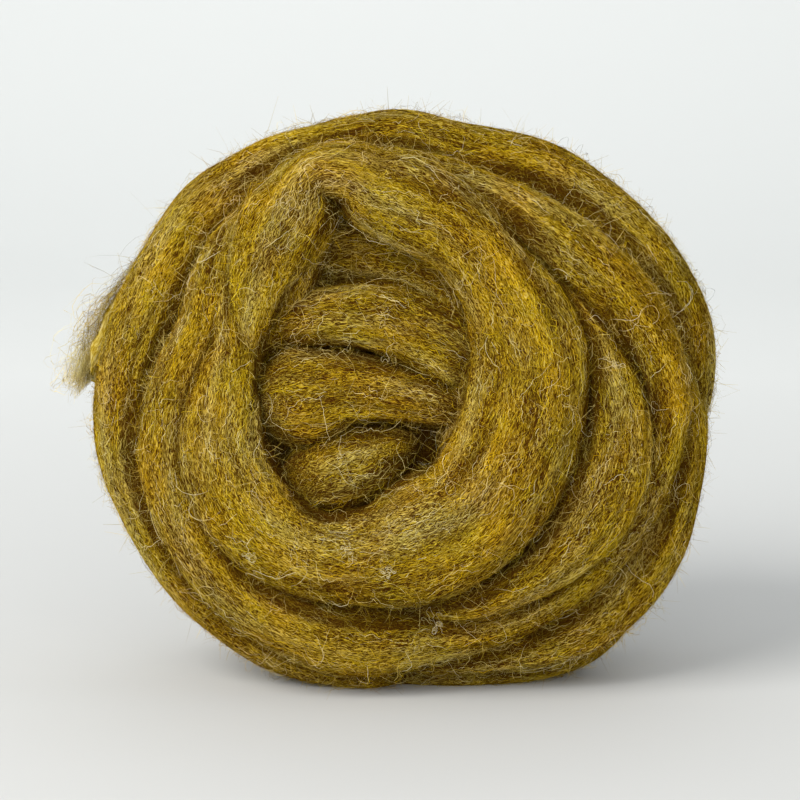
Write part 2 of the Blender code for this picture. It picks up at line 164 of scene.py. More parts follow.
# How much wider a strand is than its place, so that it presses into the next one.
PRESS = 1.04
# How far from its ends a strand rounds off. The heart's own girth closes it.
ROUNDING = 12.0
UNROUNDED = 1e-6
# The strand's surface swells and shrinks by this share, over lumps of this size.
LUMP_SIZE = 16.0
LUMP_SHARE = 0.05
# The strand strays from its table by up to this much, over this distance, from this depth on, and in full
# further back by the ramp.
WANDER = 3.5
WANDER_SIZE = 28.0
WANDER_FROM = -12.0
WANDER_RAMP = 20.0
SEED = 4
# The bottom is pressed flat by the wool's weight: it bends over this height, and is level at the floor.
SAG = 1.5
SAG_CUT = 0.35

# How finely a strand's skin is divided: along it, and round it.
STEP = 2.0
SIDES = 64
# A skin's map for the baked colours is laid in this many rows, and its stations are counted to fit them.
BAKE_MAP = "OFBake"
ROWS = 4
# Where round its section a skin's seam runs, in degrees, and the same for the turns at the back.
SEAM = 90
BACK_SEAM = 180
BACK_TURNS = ("rim", "back")
# Each strand's own coordinates start this much further along, so that no two match.
APART = 700.0

# Noise over a skin: its size across the strand and along it, its height, and where it starts. The skin's
# relief is of locks, creases and swellings.
Relief = namedtuple("Relief", "across along height start")
LOCK = Relief(3.0, 34.0, 0.85, 0.0)
CREASE = Relief(1.4, 20.0, 0.4, 50.0)
SWELL = Relief(9.0, 16.0, 0.5, 90.0)
# The middle heights of the locks and the creases.
LOCK_LEVEL = 0.45
CREASE_LEVEL = 0.2
# The heather's broad streaks and patches, from olive to gold, and how much a lock adds to them.
TINT_STREAKS = Relief(3.2, 24.0, 0.5, 20.0)
TINT_PATCHES = Relief(9.0, 14.0, 0.25, 70.0)
LOCK_TINT = 0.25
# The streaks where pale undyed fibre gathers, and how much of it is everywhere.
PALE_STREAKS = Relief(3.0, 22.0, 1.4, 120.0)
PALE_LEVEL = 0.22

# How far below the wound body's surface a skin is fully in a valley, where it gets its full painted shade.
# How far off a skin the wool around is felt for, the share of that way at which it is near, and the share
# more by which it shuts the skin in, which paints it darker as painted shade too.
PAINTED_SHADE_DEPTH = 1.3
REACH = 5.5
NEAR = 0.08
CROWDED = 0.38
# The painted shade in the valleys between the folds in the hole counts for this share.
FOLD_SHADE_SHARE = 0.6
# Fibres thin out over this depth below the wound body's surface, and are gone by this many times it.
THINNING = 0.8
GONE = 2.2


# ---- Camera, light and floor ----

CAMERA_TARGET = Vector((1.19, 0.0, 55.1)) * MM
CAMERA_DISTANCE = 0.62
CAMERA_ELEVATION = math.radians(8)
VIEW_WIDTH = 0.16
SENSOR = 36.0
CLIP_START = 0.01

SKY = (0.96, 0.98, 1.0, 1.0)
SKY_STRENGTH = 0.6
NEST_HEART = (0.0, 0.0, 0.05)
BACKDROP = (0.0, 1.8, 0.5)
WHITE = (1.0, 1.0, 1.0)
WARM_WHITE = (1.0, 0.98, 0.95)
Softbox = namedtuple("Softbox", "name place target size power colour")
SOFTBOXES = (
    Softbox("key", (-0.74, -0.8, 0.8), NEST_HEART, 0.9, 17.4, WARM_WHITE),
    Softbox("fill", (0.1, -1.2, 0.4), NEST_HEART, 1.0, 7.0, WHITE),
    Softbox("backdrop_lamp", (0.0, 0.7, 1.3), BACKDROP, 1.0, 8.0, WHITE),
)

# The paper. Flat is how much of its length lies level, and bend is the radius that it then curves up by.
Paper = namedtuple("Paper", "front length width flat bend pieces")
PAPER = Paper(-1.6, 4.6, 6.0, 2.4, 0.6, 60)
# Its colours at these distances behind the roving, painted light and shade for how the lamps fall on it:
# darker near the roving, lightest on the floor further back, and a little darker up the curve.
PAPER_PAINTED_SHADES = ((0.06, (0.605, 0.612, 0.603)), (0.45, (0.705, 0.718, 0.706)), (0.95, (0.645, 0.660, 0.650)))


def linked(name, data):
    obj = bpy.data.objects.new(name, data)
    bpy.context.scene.collection.objects.link(obj)
    return obj


def aimed(name, data, place, target):
    obj = linked(name, data)
    obj.location = place
    obj.rotation_euler = (Vector(target) - Vector(place)).to_track_quat("-Z", "Y").to_euler()
    return obj


def add_camera():
    camera = bpy.data.cameras.new("camera")
    camera.sensor_width = SENSOR
    camera.lens = SENSOR * CAMERA_DISTANCE / VIEW_WIDTH
    camera.clip_start = CLIP_START
    back = Vector((0, -math.cos(CAMERA_ELEVATION), math.sin(CAMERA_ELEVATION)))
    place = CAMERA_TARGET + back * CAMERA_DISTANCE
    bpy.context.scene.camera = aimed("camera", camera, place, CAMERA_TARGET)


def add_softbox(softbox):
    lamp = bpy.data.lights.new(softbox.name, "AREA")
    lamp.shape = "DISK"
    lamp.size = softbox.size
    lamp.energy = softbox.power
    lamp.color = softbox.colour
    aimed(softbox.name, lamp, softbox.place, softbox.target)


def add_world():
    world = bpy.data.worlds.new("studio")
    world.use_nodes = True
    background = world.node_tree.nodes["Background"]
    background.inputs["Color"].default_value = SKY
    background.inputs["Strength"].default_value = SKY_STRENGTH
    bpy.context.scene.world = world


# ---- Materials ----

# A Mix node's colour sockets, by their numbers, because it has others of the same names.
MIX_RESULT = 2
MIX_FIRST = 6
MIX_SECOND = 7


class Value:
    """A number or vector in a material's nodes. Sums and products on it add their Math nodes."""

    def __init__(self, finish, socket):
        self.finish = finish
        self.socket = socket

    def math(self, operation, other):
        return self.finish.node("ShaderNodeMath", {"operation": operation}, self, other)

    def __add__(self, other):
        return self.math("ADD", other)

    def __sub__(self, other):
        return self.math("SUBTRACT", other)

    def __mul__(self, other):
        return self.math("MULTIPLY", other)

    __radd__ = __add__
    __rmul__ = __mul__


class Finish:
    """A material as it is put together, on one Principled shader."""

    def __init__(self, name, roughness, gloss=0.0):
        self.material = bpy.data.materials.new(name)
        self.material.use_nodes = True
        self.tree = self.material.node_tree
        self.shader = self.tree.nodes["Principled BSDF"]
        self.shader.inputs["Roughness"].default_value = roughness
        self.shader.inputs["Specular IOR Level"].default_value = gloss

    def node(self, kind, settings, *inputs, output=0, **named):
        """Adds a node: its settings first, then the values or links of its sockets."""
        made = self.tree.nodes.new(kind)
        for name, value in settings.items():
            setattr(made, name, value)
        for key, value in [*enumerate(inputs), *named.items()]:
            self.fill(made.inputs[key], value)
        return Value(self, made.outputs[output])

    def fill(self, socket, value):
        if isinstance(value, Value):
            self.tree.links.new(value.socket, socket)
        else:
            socket.default_value = value

    def ramp(self, factor, stops):
        made = self.node("ShaderNodeValToRGB", {}, factor)
        elements = made.socket.node.color_ramp.elements
        while len(elements) < len(stops):
            elements.new(1.0)
        for element, (place, colour) in zip(elements, stops):
            element.position = place
            element.color = (*colour, 1.0)
        return made

    def blend(self, factor, first, second, how="MIX"):
        settings = {"data_type": "RGBA", "blend_type": how}
        made = self.node("ShaderNodeMix", settings, factor, output=MIX_RESULT)
        self.fill(made.socket.node.inputs[MIX_FIRST], first)
        self.fill(made.socket.node.inputs[MIX_SECOND], second)
        return made

    def scaled(self, vector, scale):
        return self.node("ShaderNodeVectorMath", {"operation": "MULTIPLY"}, vector, scale)

    def noise(self, vector, scale=1.0, detail=2.0, roughness=0.5, output=0):
        sockets = {"Vector": vector, "Scale": scale, "Detail": detail, "Roughness": roughness}
        return self.node("ShaderNodeTexNoise", {}, output=output, **sockets)

    def attribute(self, name, output):
        return self.node("ShaderNodeAttribute", {"attribute_name": name}, output=output)

    def place(self):
        return self.node("ShaderNodeTexCoord", {}, output="Object")

    def bump(self, strength, distance, height):
        """Connects a height over the surface to the shader's normal."""
        sockets = {"Strength": strength, "Distance": distance, "Height": height}
        self.connect("Normal", self.node("ShaderNodeBump", {}, **sockets))

    def dyed(self, colour):
        """The colour with the dye's uneven patches, warmer here and greener there."""
        shift = self.ramp(self.noise(self.place(), scale=DYE_SCALE), DYE_PATCHES)
        return self.blend(1.0, colour, shift, "MULTIPLY")

    def connect(self, socket, value):
        self.fill(self.shader.inputs[socket], value)


UMBER = (0.050, 0.017, 0.002)
BROWN = (0.128, 0.057, 0.004)
OLIVE = (0.215, 0.134, 0.007)
MUSTARD = (0.360, 0.228, 0.006)
GOLD = (0.520, 0.335, 0.008)
TAUPE = (0.215, 0.148, 0.026)
STRAW = (0.600, 0.460, 0.095)
CREAM = (0.780, 0.680, 0.380)
HEATHER = ((0.16, UMBER), (0.32, BROWN), (0.45, OLIVE), (0.6, MUSTARD), (0.76, GOLD), (0.92, STRAW))
UNDYED = ((0.16, UMBER), (0.4, TAUPE), (0.75, STRAW))
# The painted shade between the fibres in a crevice, a dark red-brown, and how much of it there is at the
# bottom.
PAINTED_CREVICE_SHADE = (0.066, 0.028, 0.003, 1.0)
PAINTED_CREVICE_SHARE = 0.64
# What the dye's warm and green patches leave of a colour, and how many go to a metre.
DYE_PATCHES = ((0.34, (0.965, 0.89, 0.85)), (0.62, (0.905, 0.935, 1.0)))
DYE_SCALE = 90.0

# How many wavers of the crimp go to a metre, and how far aside they carry a streak, in metres.
CRIMP_SCALE = 500.0
CRIMP = 0.0010
# The wool's grains, from fibres to locks: how many go to a metre each way, their roughness, and how much
# they count in the heather's mix and in the relief.
Grain = namedtuple("Grain", "scale roughness mix relief")
GRAINS = (
    Grain((6000.0, 6000.0, 620.0), 0.7, 3.2, 0.75),
    Grain((3200.0, 3200.0, 300.0), 0.7, 0.3, 0.2),
    Grain((850.0, 850.0, 90.0), 0.6, 0.14, 0.2),
)
# What else the heather's mix is made of: its level, the broad tint, and how much darker a valley is
# painted, as painted shade.
MIX_LEVEL = 0.205
TINT_MIX = 0.38
PAINTED_SHADE_MIX = 0.22
# How much of a pale streak is undyed fibre.
PALE_SHARE = 0.8
SKIN_RELIEF = 0.00045


def skin_finish():
    """The strand's fleece: streaks of heathered fibre that run along it, with painted shade in its valleys
    and crevices.
    """
    wool = Finish("combed_wool", roughness=0.9)
    strand = wool.attribute("strand", "Vector")
    tint, pale, painted_shade = (wool.attribute(name, "Fac") for name in ("tint", "pale", "painted_shade"))
    waver = wool.noise(strand, scale=CRIMP_SCALE, detail=1.0, output="Color")
    carried = {"operation": "MULTIPLY_ADD"}
    crimped = wool.node("ShaderNodeVectorMath", carried, waver, (CRIMP, CRIMP, 0.0), strand)
    # Painted shade: a valley or crevice makes the heather's mix darker here.
    mixed = MIX_LEVEL + TINT_MIX * tint - PAINTED_SHADE_MIX * painted_shade
    relief = 0.0
    for size in GRAINS:
        fibres = wool.noise(wool.scaled(crimped, size.scale), roughness=size.roughness)
        mixed = mixed + size.mix * (fibres - 0.5)
        relief = relief + size.relief * fibres
    blended = wool.blend(pale * PALE_SHARE, wool.ramp(mixed, HEATHER), wool.ramp(mixed, UNDYED))
    # Painted shade: in valleys and crevices the colour is blended towards a dark red-brown.
    wool.connect("Base Color", wool.blend(painted_shade * PAINTED_CREVICE_SHARE, wool.dyed(blended), PAINTED_CREVICE_SHADE))
    wool.bump(1.0, SKIN_RELIEF, relief)
    return wool.material


# How many patches of shade go to a metre along a fibre, and how much they change it.
MOTTLE_SCALE = 600.0
MOTTLE = 1.1


def fibre_finish(name, dark, middle, light):
    """Single fibres of one colour, each a shade of its own, that changes along it."""
    fibre = Finish(name, roughness=0.8)
    shade = fibre.attribute("shade", "Fac")
    mottle = fibre.noise(fibre.place(), scale=MOTTLE_SCALE)
    colour = fibre.ramp(shade + MOTTLE * (mottle - 0.5), ((0.1, dark), (0.5, middle), (0.9, light)))
    fibre.connect("Base Color", fibre.dyed(colour))
    return fibre.material


def paper_finish():
    paper = Finish("pale_paper", roughness=0.8, gloss=0.3)
    # Painted light: the paper's colour changes with the distance behind the roving.
    back = paper.node("ShaderNodeSeparateXYZ", {}, paper.place(), output="Y")
    paper.connect("Base Color", paper.ramp(back, PAPER_PAINTED_SHADES))
    return paper.material


# ---- The winding ----


def between(values, places):
    """Reads a smooth curve through the values at places from 0 to one less than their number."""
    values = np.asarray(values, float)
    last = len(values) - 1
    k = np.minimum(places.astype(int), last - 1)
    t = places - k
    a, b, c, d = (values[np.clip(k + i, 0, last)] for i in (-1, 0, 1, 2))
    return b + 0.5 * t * (c - a + t * (2 * a - 5 * b + 4 * c - d + t * (3 * (b - c) + d - a)))


def field(places, size):
    """Smooth noise from -1 to 1 at each place, by its size along each axis."""
    scaled = places.reshape(-1, 3) / np.asarray(size, float)
    return np.array([noise.noise(p) for p in scaled.tolist()]).reshape(places.shape[:-1])


def grain(own, relief):
    """Noise from -1 to 1 that is drawn out along the strand."""
    return field(own + relief.start, (relief.across, relief.across, relief.along))


def strayed(middles):
    """How the winding strays from its table: not at all at the front, and in full at the back."""
    reach = WANDER * np.clip((middles[:, 1] - WANDER_FROM) / WANDER_RAMP, 0.0, 1.0)
    drift = np.array([noise.noise_vector(p) for p in (middles / WANDER_SIZE).tolist()])
    return middles + drift * reach[:, None]


def counted(length):
    """How many steps a strand of this length is divided into."""
    return ROWS * max(1, round(length / STEP / ROWS))


def stations(sections, length):
    """A table's columns, read smoothly at the stations of a strand of this length."""
    places = np.linspace(0, len(sections) - 1, counted(length) + 1)
    return (between(column, places) for column in zip(*sections))


def turn_path(turn):
    """The middles of a turn's stations, with the strand's width and thickness there."""
    table = np.array(turn.sections, float)
    radians = abs(math.radians(table[-1, 0] - table[0, 0]))
    length = radians * (table[:, 1] + table[:, 2]).mean() / 2
    angle, inner, outer, depth, thickness = stations(turn.sections, length)
    radius = (inner + outer) / 2
    across = turn.centre[0] + radius * np.cos(np.radians(angle))
    up = turn.centre[1] + radius * np.sin(np.radians(angle))
    return strayed(np.stack((across, depth, up), 1)), (outer - inner) * PRESS, thickness * PRESS


def fold_path(fold):
    """The middles of a fold's stations, with the strand's width and thickness there."""
    length = sum(math.dist(a[:2], b[:2]) for a, b in zip(fold.sections, fold.sections[1:]))
    across, up, depth, width, thickness = stations(fold.sections, length)
    return np.stack((HOLE[0] + across, depth, HOLE[1] + up), 1), width, thickness


def heart_path():
    """The wool behind the turns, as a strand that stands upright."""
    places = np.linspace(-1, 1, counted(HEART_HALF[2]) + 1)
    girth = np.sqrt(1 - places**2)
    middles = np.array(HEART_MIDDLE) + np.outer(places, (0, 0, HEART_HALF[2]))
    return middles, 2 * HEART_HALF[0] * girth, 2 * HEART_HALF[1] * girth


def unit(vectors):
    return vectors / np.maximum(np.linalg.norm(vectors, axis=-1, keepdims=True), 1e-12)


def pressed(places):
    """Bends what is low softly level, as the wool's weight does, with nothing below the floor."""
    places[..., 2] = np.maximum(SAG * np.logaddexp(0, places[..., 2] / SAG) - SAG_CUT, 0)
    return places


class Strand:
    """One length of roving: a grid of places along and round it, and what the wool is like at each."""

    def __init__(self, name, path, number, seam=SEAM, rounding=ROUNDING):
        self.name = name
        middles, widths, thicknesses = path
        ahead = unit(np.gradient(middles, axis=0))
        sideways = unit(np.cross((0.0, 1.0, 0.0), ahead))
        through = unit(np.cross(ahead, sideways))
        run = np.concatenate(([0.0], np.cumsum(np.linalg.norm(np.diff(middles, axis=0), axis=1))))
        near_end = np.minimum(np.minimum(run, run[-1] - run) / rounding, 1)
        fullness = np.sqrt(1 - (1 - near_end) ** 2)
        turn = np.radians(seam) + np.arange(SIDES) * 2 * np.pi / SIDES
        x, y = (np.sign(c) * np.abs(c) ** (2 / SQUARENESS) for c in (np.cos(turn), np.sin(turn)))
        x = np.outer(widths * fullness / 2, x)
        y = np.outer(thicknesses * fullness / 2, y)
        side = sideways[:, None] * x[..., None] + through[:, None] * y[..., None]
        own = np.stack((x, y, np.broadcast_to(run[:, None] + APART * number, x.shape)), -1)
        locks = 2 * np.abs(grain(own, LOCK)) - LOCK_LEVEL
        relief = LOCK.height * locks
        relief += CREASE.height * (np.abs(grain(own, CREASE)) - CREASE_LEVEL)
        relief += SWELL.height * grain(own, SWELL)
        relief *= np.minimum(fullness * 2, 1)[:, None]
        lump = 1 + LUMP_SHARE * field(middles[:, None] + side, LUMP_SIZE)
        places = middles[:, None] + side * lump[..., None] + unit(side) * relief[..., None]
        self.places = (pressed(places) - np.array(ORIGIN)) * MM
        self.own = own * MM
        streaks = grain(own, TINT_STREAKS) * TINT_STREAKS.height
        patches = grain(own, TINT_PATCHES) * TINT_PATCHES.height
        self.tint = np.clip(0.5 + streaks + patches + LOCK_TINT * np.clip(locks, -0.5, 0.5), 0, 1)
        self.pale = np.clip(PALE_LEVEL + grain(own, PALE_STREAKS) * PALE_STREAKS.height, 0, 1)
        along = np.gradient(self.places, axis=0)
        across = (np.roll(self.places, -1, 1) - np.roll(self.places, 1, 1)) / 2
        self.along = np.maximum(np.linalg.norm(along, axis=-1), 1e-5)
        self.across = np.maximum(np.linalg.norm(across, axis=-1), 1e-5)
        self.normals = unit(np.cross(along, across))
        if (self.normals * side).sum() < 0:
            self.normals = -self.normals

    def sunken(self, nest):
        """How far each place is below the wound body's surface, in millimetres."""
        flat = self.places.reshape(-1, 3)
        depth = np.empty(len(flat))
        for k, place in enumerate(flat.tolist()):
            near, normal, _, _ = nest.find_nearest(place)
            depth[k] = (near - Vector(place)).dot(normal) / MM
        return depth.reshape(self.along.shape)

    def crowded(self, nest):
        """How shut in each place is, from 0 in the open to 1 in a crevice."""
        probes = self.places + self.normals * REACH * MM
        near = [nest.find_nearest(probe)[3] for probe in probes.reshape(-1, 3).tolist()]
        short = 1 - np.array(near).reshape(self.along.shape) / (REACH * MM)
        return np.clip((short - NEAR) / CROWDED, 0, 1)

    def settle(self, nest):
        """Notes each place's painted shade, by how deep in a valley and how shut in it is, and how far it
        shows for fibres to grow there.
        """
        depth = self.sunken(nest)
        # The painted shade's mask: full in a valley or crevice, and less between the folds.
        shut = np.maximum(np.clip(depth / PAINTED_SHADE_DEPTH, 0, 1), self.crowded(nest))
        self.painted_shade = shut * (FOLD_SHADE_SHARE if self.name.endswith("_fold") else 1.0)
        self.shows = np.clip(GONE - depth / THINNING, 0, 1)


def wound_strands():
    """The strands of the turns, of the folds, and of the wool behind them."""
    strands = []
    for number, turn in enumerate(TURNS):
        seam = BACK_SEAM if turn.name in BACK_TURNS else SEAM
        strands.append(Strand(f"{turn.name}_turn", turn_path(turn), number, seam))
    for number, fold in enumerate(FOLDS, len(TURNS)):
        strands.append(Strand(f"{fold.name}_fold", fold_path(fold), number))
    behind = len(TURNS) + len(FOLDS) + 1
    strands.append(Strand("heart", heart_path(), behind, rounding=UNROUNDED))
    return strands


def read(grid, u, v):
    """A grid's values between its stations, and round its sides."""
    last, sides = len(grid) - 1, grid.shape[1]
    i = np.clip(u.astype(int), 0, last - 1)
    s = np.clip(u - i, 0, 1)[..., None]
    j = np.floor(v).astype(int)
    t = (v - j)[..., None]
    a, b = j % sides, (j + 1) % sides
    near = grid[i, a] * (1 - t) + grid[i, b] * t
    return near * (1 - s) + (grid[i + 1, a] * (1 - t) + grid[i + 1, b] * t) * s


# ---- Pieces ----


def meshed(name, bm):
    mesh = bpy.data.meshes.new(name)
    bm.to_mesh(mesh)
    bm.free()
    return mesh


def add_piece(name, mesh, material, slot, *nodes):
    """A finished piece of the looks, and the CAD's nodes that it replaces."""
    mesh.materials.append(material)
    mesh.shade_smooth()
    obj = linked(name, mesh)
    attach(obj, "root")
    if nodes:
        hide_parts(*nodes)
    return obj


def add_skin(strand, material):
    """A strand's skin: a grid bent round it and closed."""
    last = len(strand.places) - 1
    bm = bmesh.new()
    bake_map = bm.loops.layers.uv.new(BAKE_MAP)
    own = bm.verts.layers.float_vector.new("strand")
    layers = {name: bm.verts.layers.float.new(name) for name in ("tint", "pale", "painted_shade")}
    bmesh.ops.create_grid(bm, x_segments=last, y_segments=SIDES, size=0.5, calc_uvs=True)
    for vert in bm.verts:
        i = round((vert.co.x + 0.5) * last)
        j = round((vert.co.y + 0.5) * SIDES) % SIDES
        vert.co = strand.places[i, j]
        vert[own] = strand.own[i, j]
        for name, layer in layers.items():
            vert[layer] = getattr(strand, name)[i, j]
    for face in bm.faces:
        corners = [loop[bake_map] for loop in face.loops]
        row = int(sum(corner.uv.x for corner in corners) / len(corners) * ROWS)
        for corner in corners:
            corner.uv = (corner.uv.x * ROWS - row, (row + corner.uv.y) / ROWS)
    bmesh.ops.remove_doubles(bm, verts=bm.verts, dist=1e-7)
    bmesh.ops.recalc_face_normals(bm, faces=bm.faces)
    add_piece(strand.name, meshed(strand.name, bm), material, "wool", "wound_roving")


# A fibre's cell on its map: its length by its width, and the shares left free at its ends and sides.
CELL_LENGTH = 10
CELL_ENDS = 0.1
CELL_SIDES = 0.15


def in_cells(count, stations, corners):
    """The places of fibres' corners on their map: a cell for each fibre."""
    columns = math.ceil(math.sqrt(count / CELL_LENGTH))
    rows = math.ceil(count / columns)
    number = np.arange(count)[:, None, None]
    along = np.linspace(CELL_ENDS, 1 - CELL_ENDS, stations)[:, None]
    over = np.linspace(CELL_SIDES, 1 - CELL_SIDES, corners)
    x, y = np.broadcast_arrays((number % columns + along) / columns, (number // columns + over) / rows)
    return np.stack((x, y), -1)


def quads(grid):
    """The corners of each square of a grid of a fibre's stations and the corners round it."""
    sides = (grid[:, :-1, :-1], grid[:, 1:, :-1], grid[:, 1:, 1:], grid[:, :-1, 1:])
    return np.stack(sides, 3)


def fibre_mesh(name, rings, shade):
    """A mesh of fibres from their corners: two to a station make a ribbon, and three a hair."""
    count, stations, corners, _ = rings.shape
    number = np.arange(count * stations * corners).reshape(count, stations, corners)
    closed = corners > 2
    grid = np.concatenate((number, number[:, :, :1]), 2) if closed else number
    spots = in_cells(count, stations, grid.shape[2])
    faces = quads(grid).reshape(-1, 4).tolist()
    uvs = [quads(spots).reshape(-1, 2)]
    if closed:
        faces += number[:, 0].tolist() + number[:, -1, ::-1].tolist()
        for station, inward in ((0, 1), (-1, -2)):
            uvs.append(spots[:, (station, station, inward), (0, 1, 0)].reshape(-1, 2))
    mesh = bpy.data.meshes.new(name)
    mesh.from_pydata(rings.reshape(-1, 3).tolist(), [], faces)
    layer = mesh.uv_layers.new(name=BAKE_MAP)
    layer.data.foreach_set("uv", np.concatenate(uvs).astype(np.float32).ravel())
    values = np.repeat(shade, stations * corners).astype(np.float32)
    mesh.attributes.new("shade", "FLOAT", "POINT").data.foreach_set("value", values)
    return mesh


def add_fibre_piece(name, rings, shade, shades, slot="wool"):
    """A piece of fibres, each with its own place between the darkest and the lightest shade."""
    return add_piece(name, fibre_mesh(name, rings, shade), fibre_finish(name, *shades), slot)


# Fibres that would go through the floor lie on it, this high.
LYING = 0.1
HAIR_SIDES = 3


def sides_of(points, outward):
    """The two ways across fibres at their points: along the skin, and off it."""
    points[..., 2] = np.maximum(points[..., 2], LYING * MM)
    ahead = unit(np.gradient(points, axis=1))
    flat = unit(np.cross(outward, ahead))
    return flat, np.cross(ahead, flat)


def ribbons(points, outward, widths, twist):
    """Flat fibres along the points, each turned about itself by its twist from lying flat."""
    flat, up = sides_of(points, outward)
    turn = twist[:, None, None]
    side = (flat * np.cos(turn) + up * np.sin(turn)) * widths[..., None] / 2
    return np.stack((points - side, points + side), 2)


def hairs(points, outward, widths):
    """Round fibres along the points, of a few sides."""
    flat, up = sides_of(points, outward)
    corners = []
    for k in range(HAIR_SIDES):
        turn = 2 * math.pi * k / HAIR_SIDES
        corners.append(points + (flat * math.cos(turn) + up * math.sin(turn)) * widths[..., None] / 2)
    return np.stack(corners, 2)


def tapered(stations, width, tips):
    """Widths along fibres, which thin out to this share of it at their tips."""
    t = np.linspace(0, 1, stations)
    return np.outer(width, tips + (1 - tips) * np.sin(np.pi * t) ** 0.5)


def rooted(strands, count, front, rng):
    """Roots for a number of fibres over the strands, as many more to the front as its share says."""
    weights = []
    for strand in strands:
        facing = np.clip(-strand.normals[..., 1], 0, 1)
        weights.append(strand.along * strand.across * strand.shows * (1 - front + front * facing))
    totals = np.array([w.sum() for w in weights])
    counts = rng.multinomial(count, totals / totals.sum())
    for strand, weight, many in zip(strands, weights, counts):
        cells = rng.choice(weight.size, size=many, p=weight.ravel() / weight.sum())
        u = cells // SIDES + rng.uniform(-0.5, 0.5, many)
        v = cells % SIDES + rng.uniform(-0.5, 0.5, many)
        yield strand, np.clip(u, 0, len(strand.places) - 1), v


# ---- The combed fibres ----

# A kind of fibre. In degrees, it strays from the strand's heading by spread, and its waves swing by crimp.
Kind = namedtuple("Kind", "length spread crimp wave lift width stations count")
COMBED = Kind(6.5, 14.0, 28.0, 2.4, 0.26, 0.056, 8, 23000)
LOOSER = Kind(5.0, 48.0, 46.0, 2.0, 0.55, 0.05, 8, 15500)
# How much more fibres are on the front, the spread of their bend in radians, and how deep their ends are.
FIBRES_IN_FRONT = 0.72
BEND = 0.5
SUNK = 0.22
# How far a fibre bobs off the skin, and its half bobs to a wave of its crimp.
BOB = 0.17
HALF_BOBS = 3.1
# Its tips' share of its width, and the spread of its twist from lying flat, in radians.
FIBRE_TIPS = 0.25
TWIST = 0.6
# The least and greatest shares of its kind's length and width, crimp length and swing that a fibre has.
SIZE_RANGE = (0.6, 1.4)
WAVE_RANGE = (0.7, 1.5)
SWING_RANGE = (0.5, 1.5)
# The power of a fibre's arch: the lower it is, the sooner the fibre is at its height.
ARCHING = 0.7


def laid(strand, u, v, kind, rng):
    """Fibres that lie along a strand: their points, and the way out at each."""
    count = len(u)
    t = np.linspace(0, 1, kind.stations)
    length = kind.length * rng.uniform(*SIZE_RANGE, count) * MM
    wave = kind.wave * rng.uniform(*WAVE_RANGE, count) * MM
    phase = rng.uniform(0, 2 * np.pi, (2, count, 1))
    heading = np.radians(rng.normal(0, kind.spread, count)) + np.where(rng.random(count) < 0.5, np.pi, 0)
    bend = rng.normal(0, BEND, (count, 1)) * (t - 0.5)
    run = length[:, None] * (t - 0.5)
    swing = np.radians(kind.crimp) * rng.uniform(*SWING_RANGE, (count, 1))
    angle = heading[:, None] + bend + swing * np.sin(2 * np.pi * run / wave[:, None] + phase[0])
    step = (length / (kind.stations - 1))[:, None]
    ahead = np.cumsum(np.cos(angle), 1) * step
    aside = np.cumsum(np.sin(angle), 1) * step
    ahead -= ahead.mean(1, keepdims=True)
    aside -= aside.mean(1, keepdims=True)
    along = read(strand.along[..., None], u, v)
    across = read(strand.across[..., None], u, v)
    at_u = np.clip(u[:, None] + ahead / along, 0, len(strand.places) - 1.001)
    at_v = v[:, None] + aside / across
    normals = unit(read(strand.normals, at_u, at_v))
    lift = np.minimum(rng.exponential(kind.lift, count), 5 * kind.lift)[:, None] * MM
    sunk = SUNK * MM
    height = (lift + sunk) * np.sin(np.pi * t) ** ARCHING - sunk
    height = height + BOB * MM * np.sin(HALF_BOBS * np.pi * run / wave[:, None] + phase[1])
    return read(strand.places, at_u, at_v) + normals * height[..., None], normals


# The fibres' colours: each one's share, how much more of it lies in the gold streaks and in the pale ones,
# and its darkest, middle and lightest shades.
Dye = namedtuple("Dye", "name share golden pale shades")
DYES = (
    Dye("mustard", 0.30, 1.2, -0.8, ((0.235, 0.130, 0.004), (0.405, 0.260, 0.008), (0.590, 0.410, 0.022))),
    Dye("olive", 0.25, -1.6, 0.0, ((0.125, 0.070, 0.003), (0.255, 0.175, 0.012), (0.420, 0.315, 0.048))),
    Dye("umber", 0.15, -1.8, 0.5, ((0.030, 0.010, 0.001), (0.078, 0.028, 0.002), (0.165, 0.078, 0.010))),
    Dye("straw", 0.19, -0.8, 2.2, ((0.400, 0.290, 0.050), (0.610, 0.475, 0.135), (0.830, 0.720, 0.360))),
    Dye("gold", 0.11, 3.2, -1.5, ((0.460, 0.270, 0.003), (0.660, 0.430, 0.005), (0.830, 0.610, 0.022))),
)
# The tint and the paleness where a dye has its share.
MEAN_TINT = 0.5
MEAN_PALE = 0.3
# How much less golden and how much darker a fibre is painted in a valley, as painted shade, and the most
# fibres that a piece has.
PAINTED_SHADE_TINT = 0.75
PAINTED_SHADE_DARKER = 0.4
MOST_FIBRES = 14200


